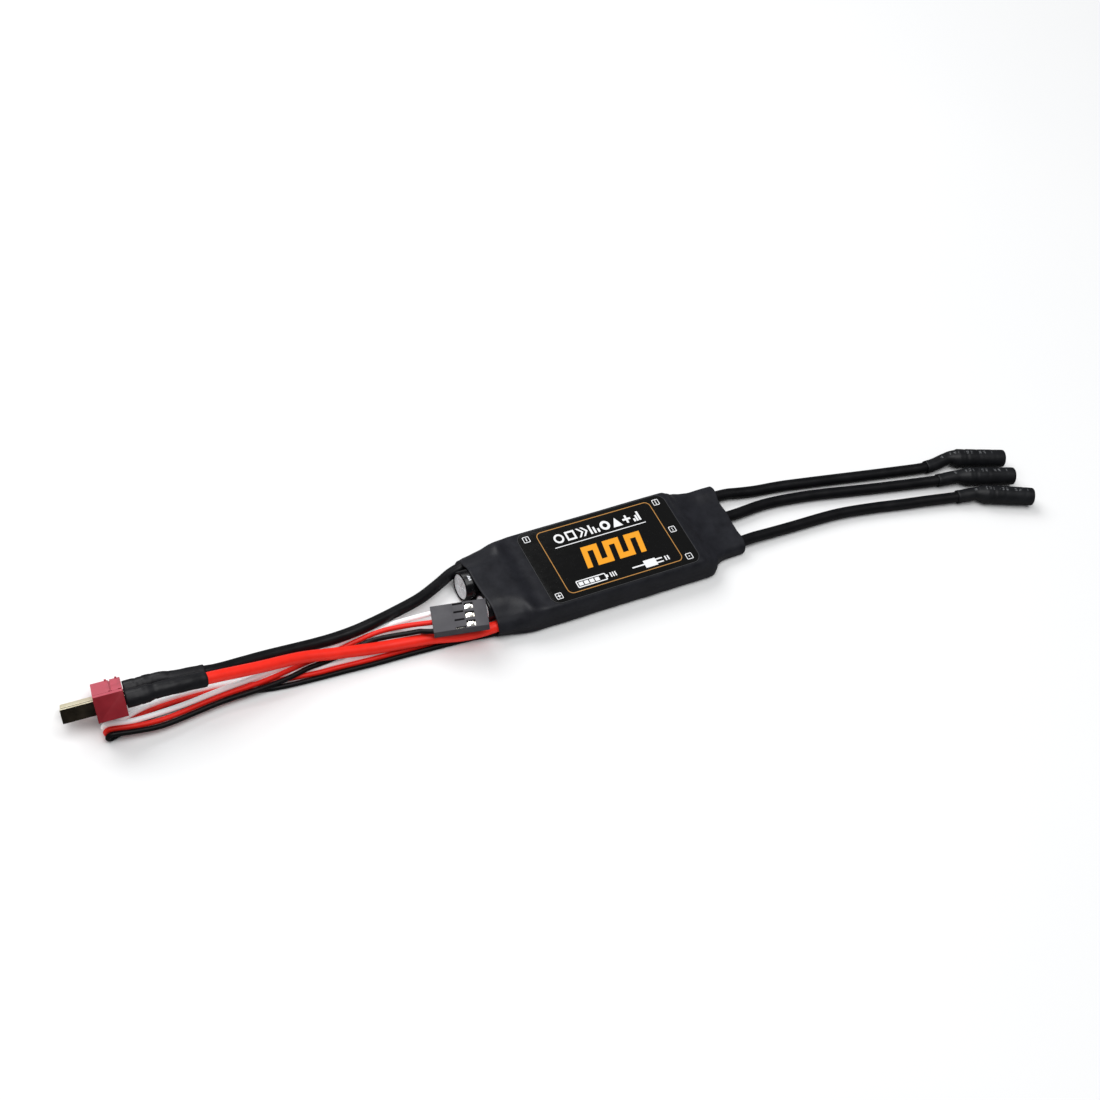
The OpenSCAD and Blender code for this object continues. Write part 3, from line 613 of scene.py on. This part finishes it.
def build_sleeve():
    count = 168
    stations, rings = sleeve_rings(count)
    # the film reaches the very brow of the flat top
    brow = int(np.argmin(abs(stations - BROW_IN_CAD)))
    stations[brow] -= BROW_DRAWN_BACK
    xs = np.arange(stations[0], stations[-1], SLEEVE_STEP).tolist() + [stations[-1]]
    knots = np.concatenate([[2 * stations[0] - stations[1]], stations, [2 * stations[-1] - stations[-2]]])
    padded = np.concatenate([[rings[0]], rings, [rings[-1]]])
    outer = []
    for x in xs:
        i = min(len(stations) - 2, max(0, int(np.searchsorted(stations, x, side="right")) - 1))
        h = stations[i + 1] - stations[i]
        t = (x - stations[i]) / h
        p0, p1, p2, p3 = padded[i : i + 4]
        m1 = (p2 - p0) / (knots[i + 2] - knots[i]) * h
        m2 = (p3 - p1) / (knots[i + 3] - knots[i + 1]) * h
        tame = 0.6
        ring = ((2 * t**3 - 3 * t**2 + 1) * p1 + (t**3 - 2 * t**2 + t) * m1 * tame
                + (-2 * t**3 + 3 * t**2) * p2 + (t**3 - t**2) * m2 * tame)
        # rounds the outline between its CAD corners
        for _ in range(2):
            ring = 0.25 * np.roll(ring, 1, axis=0) + 0.5 * ring + 0.25 * np.roll(ring, -1, axis=0)
        outer.append(ring)
    vertices = []
    rows = len(outer)
    for inset in (0.0, SLEEVE_WALL):
        for x, ring in zip(xs, outer):
            edge = np.roll(ring, -1, axis=0) - np.roll(ring, 1, axis=0)
            inward = np.stack([-edge[:, 1], edge[:, 0]], axis=1)
            inward /= np.linalg.norm(inward, axis=1)[:, None]
            top_z, half = ring[:, 1].max(), abs(ring[:, 0]).max()
            for (y, z), (ny, nz) in zip(ring, inward):
                dx, dy, dz = sleeve_shape(x, y, z, top_z, half, xs[0], xs[-1])
                skew = -MOUTH_SKEW * y * (1 - eased(x, -34 * MM, -28 * MM))
                vertices.append((x + dx + skew, y + dy + ny * inset, max(inset, z + dz + nz * inset)))
    faces = []
    shell = rows * count
    for i in range(rows - 1):
        for k in range(count):
            a, b = i * count + k, i * count + (k + 1) % count
            faces.append((a, a + count, b + count, b))
            faces.append((shell + b, shell + b + count, shell + a + count, shell + a))
    for k in range(count):
        b = (k + 1) % count
        end = (rows - 1) * count
        faces.append((k, b, shell + b, shell + k))
        faces.append((end + b, end + k, shell + end + k, shell + end + b))
    obj = add_mesh("sleeve", vertices, faces)
    bevel = obj.modifiers.new("rim", "BEVEL")
    bevel.width = 0.12 * MM
    bevel.segments = 2
    bevel.limit_method = "ANGLE"
    bevel.angle_limit = math.radians(50)
    paint(obj, sleeve_skin)
    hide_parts("heat_shrink_sleeve")
    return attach(obj, "housing")


build_sleeve()

# ------------------------------------------------------------------ the label
label_low, label_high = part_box("label_film")
INK_LOW = label_high.z + 0.002 * MM
INK_HIGH = label_high.z + 0.014 * MM
label_film = bevelled("label_film", 0.05 * MM)
paint(label_film, film)


def rounded_box(x0, y0, x1, y1, r, steps=7):
    out = []
    for cx, cy, start in ((x1 - r, y1 - r, 0), (x0 + r, y1 - r, 90), (x0 + r, y0 + r, 180), (x1 - r, y0 + r, 270)):
        for k in range(steps + 1):
            a = math.radians(start + 90 * k / steps)
            out.append((cx + r * math.cos(a), cy + r * math.sin(a)))
    return out


def outline_frame(outer, inner):
    """The band between two outlines with equally many points, as quads."""
    n = len(outer)
    return [[outer[k], outer[(k + 1) % n], inner[(k + 1) % n], inner[k]] for k in range(n)]


def scaled(outlines, factor=MM):
    return [[(x * factor, y * factor) for x, y in outline] for outline in outlines]


def box(x0, y0, x1, y1):
    return [(x0, y0), (x1, y0), (x1, y1), (x0, y1)]


def ink(name, outlines, material, slot="label"):
    obj = plate(name, scaled(outlines), INK_LOW, INK_HIGH)
    paint(obj, material)
    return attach(obj, "housing")


def boxed(cx, cy, size=0.95, line=0.2):
    """A small square frame turned to read from the motor side."""
    return outline_frame(rounded_box(cx - size, cy - size, cx + size, cy + size, 0.25, 2),
                         rounded_box(cx - size + line, cy - size + line, cx + size - line, cy + size - line, 0.12, 2))


def dot(cx, cy, r, count=14):
    return [(cx + r * math.cos(math.tau * k / count), cy + r * math.sin(math.tau * k / count)) for k in range(count)]


def pulse_train(x0, y0, pitch, height, stroke, slant, beats):
    """A square wave drawn with a broad pen, leaning forward."""
    pieces = []
    lean = lambda x, y: (x + (y - y0) * slant, y)
    half = stroke / 2
    for i in range(beats):
        a, b = x0 + i * pitch, x0 + (i + 0.5) * pitch
        pieces.append([lean(a, y0), lean(a + stroke, y0), lean(a + stroke, y0 + height), lean(a, y0 + height)])
        pieces.append([lean(a + stroke, y0 + height - stroke), lean(b, y0 + height - stroke),
                       lean(b, y0 + height), lean(a + stroke, y0 + height)])
        pieces.append([lean(b, y0), lean(b + stroke, y0), lean(b + stroke, y0 + height), lean(b, y0 + height)])
        if i < beats - 1:
            c = x0 + (i + 1) * pitch
            pieces.append([lean(b + stroke, y0), lean(c, y0), lean(c, y0 + stroke), lean(b + stroke, y0 + stroke)])
    return pieces


BORDER = (-17.0, -9.9, 17.7, 10.4)
BORDER_LINE = 0.22
ink("label_border", outline_frame(rounded_box(*BORDER, 1.6),
                                  rounded_box(BORDER[0] + BORDER_LINE, BORDER[1] + BORDER_LINE,
                                              BORDER[2] - BORDER_LINE, BORDER[3] - BORDER_LINE, 1.4)), border_ink)
# a painted highlight line along the cut edge of the film
EDGE_LINE = 0.14
EDGE_CORNER = 2.6
edge_x0, edge_y0, edge_x1, edge_y1 = (v / MM for v in (label_low.x, label_low.y, label_high.x, label_high.y))
ink("film_edge_highlight", outline_frame(
    rounded_box(edge_x0, edge_y0, edge_x1, edge_y1, EDGE_CORNER),
    rounded_box(edge_x0 + EDGE_LINE, edge_y0 + EDGE_LINE, edge_x1 - EDGE_LINE, edge_y1 - EDGE_LINE,
                EDGE_CORNER - EDGE_LINE)), painted_edge_highlight)
ink("label_pulse", pulse_train(-8.5, -4.1, 6.5, 6.6, 1.6, 0.16, 3), orange_ink)


def ring(cx, cy, r, line):
    return outline_frame(dot(cx, cy, r, 28), dot(cx, cy, r - line, 28))


def chevron(x, y0, y1, reach, line):
    middle = (y0 + y1) / 2
    return [(x, y0), (x + line, y0), (x + reach + line, middle), (x + line, y1), (x, y1), (x + reach, middle)]


# a row of plain shapes over a rule: ring, square, chevrons, bars, disc, triangle, cross, steps
LOW, HIGH = 5.5, 8.4
MIDDLE = (LOW + HIGH) / 2
white = [box(-13.8, 4.33, 13.8, 4.57)]
white += ring(-11.45, MIDDLE, 1.45, 0.55)
white += outline_frame(box(-9.3, LOW, -6.5, HIGH), box(-8.75, LOW + 0.55, -7.05, HIGH - 0.55))
white += [chevron(-5.9, LOW, HIGH, 1.2, 0.6), chevron(-4.6, LOW, HIGH, 1.2, 0.6)]
white += [box(-2.3, LOW, -1.7, HIGH), box(-1.2, LOW, -0.6, HIGH - 0.9), box(-0.1, LOW, 0.5, HIGH - 1.7)]
white += ring(2.5, MIDDLE, 1.45, 0.75)
white += [[(4.5, LOW), (7.4, LOW), (5.95, HIGH)]]
white += [box(7.9, MIDDLE - 0.3, 10.3, MIDDLE + 0.3), box(8.8, LOW + 0.2, 9.4, MIDDLE - 0.3),
          box(8.8, MIDDLE + 0.3, 9.4, HIGH - 0.2)]
white += [box(10.9, LOW, 11.5, LOW + 1.0), box(11.7, LOW, 12.3, LOW + 1.9), box(12.5, LOW, 13.1, HIGH)]
# a battery with its charge bars, and a plug with its cord
white += outline_frame(rounded_box(-13.8, -8.9, -5.0, -6.7, 0.3, 2), rounded_box(-13.5, -8.6, -5.3, -7.0, 0.1, 2))
white += [box(-5.0, -8.2, -4.5, -7.4)] + [box(x, -8.35, x + 1.3, -7.25) for x in (-13.2, -11.6, -10.0, -8.4)]
white += [box(x, -8.5, x + 0.35, -7.1) for x in (-3.8, -3.1, -2.4)]
white += [box(2.9, -8.0, 6.6, -7.6), box(6.6, -9.0, 10.2, -6.7), box(10.2, -8.6, 12.2, -8.2),
          box(10.2, -7.5, 12.2, -7.1), box(12.9, -8.5, 13.3, -7.1), box(13.7, -8.5, 14.1, -7.1)]
for y, kind in ((9.4, "minus"), (-9.4, "plus")):
    white += boxed(-19.9, y)
    white.append(box(-20.03, y - 0.5, -19.77, y + 0.5))
    if kind == "plus":
        white += [box(-20.4, y - 0.13, -20.03, y + 0.13), box(-19.77, y - 0.13, -19.4, y + 0.13)]
for y, dots in ((9.4, (-0.45, 0, 0.45)), (0.0, (-0.3, 0.3)), (-9.3, (0,))):
    white += boxed(19.6, y)
    white += [dot(19.6, y + d, 0.18, 10) for d in dots]
ink("label_marks", white, white_ink)

# ------------------------------------------------------------------ wires


def between_ends(root, run, radius, extra=()):
    """One wire course from its fixed root to its moving run, without the gap that the CAD leaves at the hinge."""
    points = np.vstack([root[:-1], run])
    keep = [points[0]]
    for p in points[1:]:
        if np.linalg.norm(p - keep[-1]) > 0.5 * radius:
            keep.append(p)
    keep[-1] = points[-1]
    return np.array(keep)


def wavering(radius, seed, amount=0.012):
    """A wire's radius with the small swellings that handling leaves."""
    def at(share, angle, run):
        v = Vector((run * 160, math.cos(angle) * 0.7 + seed, math.sin(angle) * 0.7))
        return radius * (1 + amount * noise.noise(v))
    return at


def lead(name, material, root_node, run_node, root, run, step=0.7 * MM, sides=28, seed=0):
    root_points, radius = full_part(root)
    run_points, _ = full_part(run)
    path = smooth(between_ends(root_points, run_points, radius), step)
    obj = tube(name, path, wavering(radius, seed), sides)
    paint(obj, material)
    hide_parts(root_node, run_node)
    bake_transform(obj)
    return path


POWER_SIDES = 14
SERVO_SIDES = 10
negative_path = lead("negative_lead", black_silicone, "negative_wire_root", "negative_wire",
                     courses("negative_wire_root", POWER_SIDES)[0], courses("negative_wire", POWER_SIDES)[0],
                     seed=1)
positive_path = lead("positive_lead", red_silicone, "positive_wire_root", "positive_wire",
                     courses("positive_wire_root", POWER_SIDES)[0], courses("positive_wire", POWER_SIDES)[0],
                     seed=2)
motor_paths = {}
for root, letter in zip(motor_courses, "abc"):
    motor_paths[letter] = lead("motor_cable_" + letter, black_silicone, "motor_wire_roots",
                               "motor_wire_" + letter, root, courses("motor_wire_" + letter, POWER_SIDES)[0],
                               seed=ord(letter))

SERVO_SPLIT_X = -64 * MM
for colour, material, slot in (("white", white_jacket, "white_jacket"), ("red", red_jacket, "red_jacket"),
                               ("black", black_jacket, "black_jacket")):
    fixed, radius = full_part(courses("servo_wire_" + colour, SERVO_SIDES)[0])
    tail, _ = full_part(courses("servo_tail_" + colour, SERVO_SIDES)[0])
    if tail[0][0] > tail[-1][0]:
        tail = tail[::-1]
    path = smooth(between_ends(fixed, tail, radius), 0.45 * MM)
    far = int(np.argmin(path[:, 0]))
    split = far + int(np.argmax(path[far:, 0] > SERVO_SPLIT_X))
    cable = tube("servo_cable_" + colour, path[: split + 1], radius, 20)
    end = tube("servo_end_" + colour, path[split:], radius, 20)
    for obj in (cable, end):
        paint(obj, material)
    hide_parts("servo_wire_" + colour)
    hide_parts("servo_tail_" + colour)
    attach(cable, "housing")
    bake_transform(end)

# ------------------------------------------------------------------ shrinks over the soldered ends


def crumpled(profile, seed, creases=(), ovality=0.02, depth=0.03 * MM):
    """A shrink's radius: a row of (share, radius) knots, pinch rings at some shares, and small wrinkles."""
    shares = [p[0] for p in profile]
    radii = [p[1] for p in profile]

    def at(share, angle, run):
        r = float(np.interp(share, shares, radii))
        for place, pinch, width in creases:
            r -= pinch * MM * math.exp(-(((share - place) / width) ** 2))
        v = Vector((run * 380, math.cos(angle) * 1.3 + seed, math.sin(angle) * 1.3))
        return r * (1 + ovality * math.cos(2 * angle + seed)) + depth * noise.noise(v)
    return at


def shrink(name, path, radius, node, body, material, wall=0.2 * MM):
    obj = tube(name, path, radius, 32, wall=wall)
    paint(obj, material)
    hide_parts(node)
    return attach(obj, body)


sockets = {m["name"]: m for m in frame["record"]["mounts"]}
BULLET_LENGTH = 14 * MM
BORE_DEPTH = 9 * MM
for letter in "abc":
    mount = sockets["motor_socket_" + letter]
    axis = np.array(mount["axis"], float)
    mouth = np.array(mount["pos_m"]) + axis * BORE_DEPTH / 2
    rear = mouth - axis * BULLET_LENGTH
    low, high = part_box("bullet_sleeve_" + letter)
    wire = motor_paths[letter]
    covered = wire[(wire[:, 0] > low.x + 0.3 * MM) & ((wire - rear) @ axis < -1.0 * MM)]
    path = smooth(np.vstack([covered[::3], rear, rear + axis * 5 * MM, mouth + axis * 0.25 * MM]), 0.4 * MM)
    total = np.linalg.norm(np.diff(path, axis=0), axis=1).sum()
    step_at = 1 - (BULLET_LENGTH + 0.7 * MM) / total
    seed = ord(letter)
    knots = [(0, 1.82 * MM), (step_at - 0.09, 1.88 * MM), (step_at - 0.03, 2.3 * MM), (step_at + 0.02, 2.66 * MM),
             (step_at + 0.2, 2.64 * MM), (0.9, 2.55 * MM), (0.975, 2.53 * MM), (1, 2.46 * MM)]
    creases = [(step_at + 0.02, -0.07, 0.012), (step_at + 0.11, 0.12, 0.012), (step_at + 0.14, -0.04, 0.01),
               (step_at + 0.26, 0.07, 0.012), (0.88, 0.05, 0.015), (step_at - 0.12, 0.05, 0.02), (0.03, -0.04, 0.02)]
    shrink("bullet_shrink_" + letter, path, crumpled(knots, seed, creases), "bullet_sleeve_" + letter,
           "motor_lead_" + letter, end_shrink)

# each shrink has slid a little along its lead
SLID = {"negative": -1.5 * MM, "positive": 2.1 * MM}
for sign, path in (("negative", negative_path), ("positive", positive_path)):
    low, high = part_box(sign + "_plug_sleeve")
    toward = np.array(sockets["battery_blades"]["axis"], float)
    blade_points, _ = welded(nodes[sign + "_blade"])
    reach = (blade_points - path[-1]) @ toward
    tab = blade_points[reach < reach.min() + 0.3 * MM].mean(0)
    aside = tab - path[-1]
    aside -= toward * aside.dot(toward)
    covered = path[path[:, 0] < high.x + SLID[sign]]
    ends = [path[-1] + aside * 0.5 + toward * 0.9 * MM, path[-1] + aside * 0.52 + toward * 2.6 * MM,
            path[-1] + aside * 0.52 + toward * 4.85 * MM]
    course = smooth(np.vstack([covered[:-3:4], ends]), 0.4 * MM)
    knots = [(0, 1.84 * MM), (0.60, 1.86 * MM), (0.72, 1.95 * MM), (0.8, 2.12 * MM), (0.97, 2.16 * MM), (1, 2.1 * MM)]
    creases = [(0.66, 0.14, 0.02), (0.735, -0.12, 0.02), (0.84, 0.12, 0.018), (0.45, 0.05, 0.02), (0.03, -0.05, 0.02)]
    shrink(sign + "_plug_shrink", course, crumpled(knots, 3.0 if sign == "negative" else 5.0, creases, 0.05,
           0.07 * MM), sign + "_plug_sleeve", "battery_lead", plug_shrink)

# ------------------------------------------------------------------ capacitors
can_points, _ = welded(nodes["capacitor_sleeves"])
can_points_middle = (can_points[:, 1].min() + can_points[:, 1].max()) / 2
for i, above in enumerate((True, False)):
    own = can_points[(can_points[:, 1] > can_points_middle) == above]
    low, high = own.min(0), own.max(0)
    place = (low[0], (low[1] + high[1]) / 2, (low[2] + high[2]) / 2)
    r = (high[1] - low[1]) / 2
    length = high[0] - low[0]
    lip = 0.62 * MM
    skin = [(0.28 * MM, r - 0.02 * MM), (0.1 * MM, r - 0.12 * MM), (0.0, r - 0.3 * MM), (0.03 * MM, r - lip),
            (0.16 * MM, r - lip - 0.02 * MM), (0.22 * MM, r - 0.4 * MM), (0.4 * MM, r - 0.14 * MM),
            (length - 0.1 * MM, r - 0.14 * MM), (length, r - 0.5 * MM), (length, r - 0.3 * MM),
            (length - 0.3 * MM, r), (length - 1.7 * MM, r - 0.02 * MM), (length - 2.0 * MM, r - 0.35 * MM),
            (length - 2.3 * MM, r - 0.02 * MM), (length - 2.6 * MM, r)]
    obj = lathe("capacitor_skin_%d" % i, skin, place, (1, 0, 0))
    for name, value in (("along", lambda v: v.co.x - place[0]),
                        ("around", lambda v: (math.atan2(v.co.z - place[2], v.co.y - place[1]) / math.tau) % 0.5)):
        attribute = obj.data.attributes.new(name, "FLOAT", "POINT")
        for v in obj.data.vertices:
            attribute.data[v.index].value = value(v)
    paint(obj, capacitor_skin)
    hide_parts("capacitor_sleeves")
    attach(obj, "housing")

# ------------------------------------------------------------------ CAD pieces that stay, with their finishes
KEPT = {
    "battery_plug_housing": (plug_nylon, 0.22 * MM), "positive_blade": (blade_gold, 0.16 * MM),
    "negative_blade": (blade_gold, 0.16 * MM), "servo_plug_housing": (servo_nylon, 0.10 * MM),
    "servo_contacts": (contact_metal, 0.06 * MM), "capacitor_cans": (can_metal, 0.25 * MM),
    "capacitor_bungs": (bung_rubber, 0.2 * MM), "capacitor_leads": (tin, 0.05 * MM),
    "heat_plate": (plate_metal, 0.12 * MM), "thermal_pad": (gap_pad, 0.1 * MM), "power_board": (board, 0.05 * MM),
    "control_board": (board, 0.05 * MM), "board_pins": (gold, 0.05 * MM), "mosfets": (chip, 0.04 * MM),
    "microcontroller": (chip, 0.06 * MM), "gate_drivers": (chip, 0.06 * MM),
    "voltage_regulators": (chip, 0.06 * MM), "resonator": (resonator_metal, 0.15 * MM),
    "ceramic_capacitors": (ceramic, 0.1 * MM), "resistors": (chip, 0.05 * MM), "solder_joints": (tin, 0.25 * MM),
    "battery_wire_ends": (tin, 0.1 * MM), "motor_wire_ends": (tin, 0.1 * MM), "servo_wire_ends": (tin, 0.05 * MM),
    "plug_wire_ends": (tin, 0.1 * MM), "bullet_wire_end_a": (tin, 0.1 * MM), "bullet_wire_end_b": (tin, 0.1 * MM),
    "bullet_wire_end_c": (tin, 0.1 * MM), "bullet_socket_a": (gold, 0.1 * MM), "bullet_socket_b": (gold, 0.1 * MM),
    "bullet_socket_c": (gold, 0.1 * MM),
}
for node, (material, width) in KEPT.items():
    paint(bevelled(node, width), material)

# ------------------------------------------------------------------ stage, light and camera
FLOOR_SIZE = 3.0
ROOM_LIGHT = 0.17
ROOM_IN_REFLECTIONS = 0.08
FLOOR_DIMMED_IN_REFLECTIONS = 0.8
bpy.ops.mesh.primitive_plane_add(size=FLOOR_SIZE, location=(0, 0, -0.05 * MM))
floor = bpy.context.object
floor.name = "floor"
g = Graph("floor")
paper = g.mix(g.ramp(g.noise(6, 2), 0.3, 0.7), (0.90, 0.905, 0.91), (0.92, 0.92, 0.92))
mirrored = g.math("MULTIPLY", g.node("LightPath").outputs["Is Glossy Ray"], FLOOR_DIMMED_IN_REFLECTIONS)
paint(floor, g.finish(Base_Color=g.mix(mirrored, paper, (0.0, 0.0, 0.0)), Roughness=0.6, Specular_IOR_Level=0.0))

# a dim room: pale for diffuse light, nearly dark in reflections, so that black stays black
world = bpy.data.worlds.new("studio")
world.use_nodes = True
background = world.node_tree.nodes["Background"]
background.inputs[0].default_value = (0.95, 0.975, 1.0, 1)
rays = world.node_tree.nodes.new("ShaderNodeLightPath")
strength = world.node_tree.nodes.new("ShaderNodeMapRange")
strength.inputs["To Min"].default_value = ROOM_LIGHT
strength.inputs["To Max"].default_value = ROOM_IN_REFLECTIONS
world.node_tree.links.new(rays.outputs["Is Glossy Ray"], strength.inputs["Value"])
world.node_tree.links.new(strength.outputs[0], background.inputs[1])
bpy.context.scene.world = world


def softbox(name, place, target, width, height, power, colour=(1, 1, 1)):
    light = bpy.data.lights.new(name, "AREA")
    light.shape = "RECTANGLE"
    light.size, light.size_y = width, height
    light.energy = power
    light.color = colour
    obj = bpy.data.objects.new(name, light)
    bpy.context.scene.collection.objects.link(obj)
    obj.location = place
    obj.rotation_euler = (Vector(target) - Vector(place)).to_track_quat("-Z", "Y").to_euler()


softbox("key", (-0.35, 0.75, 0.85), (0, 0, 0), 0.9, 0.7, 9.0)
softbox("overhead", (-0.1, -0.2, 1.2), (0, 0, 0), 0.9, 0.9, 10.5)

CAMERA_PLACE = Vector((-256.63, -255.73, 447.76)) * MM
CAMERA_AIM = Vector((-11.0, 9.2, 0)) * MM
CAMERA_ROLL = math.radians(19.4)
CAMERA_LENS = 71.5
forward = (CAMERA_AIM - CAMERA_PLACE).normalized()
level = forward.cross(Vector((0, 0, 1))).normalized()
upright = level.cross(forward)
right = level * math.cos(CAMERA_ROLL) + upright * math.sin(CAMERA_ROLL)
up = right.cross(forward)
camera_data = bpy.data.cameras.new("camera")
camera_data.lens = CAMERA_LENS
camera_data.sensor_width = 36
camera_data.clip_start = 0.01
camera = bpy.data.objects.new("camera", camera_data)
bpy.context.scene.collection.objects.link(camera)
camera.matrix_world = Matrix((
    (right.x, up.x, -forward.x, CAMERA_PLACE.x), (right.y, up.y, -forward.y, CAMERA_PLACE.y),
    (right.z, up.z, -forward.z, CAMERA_PLACE.z), (0, 0, 0, 1)))
bpy.context.scene.camera = camera
bpy.context.scene.view_settings.view_transform = "Standard"
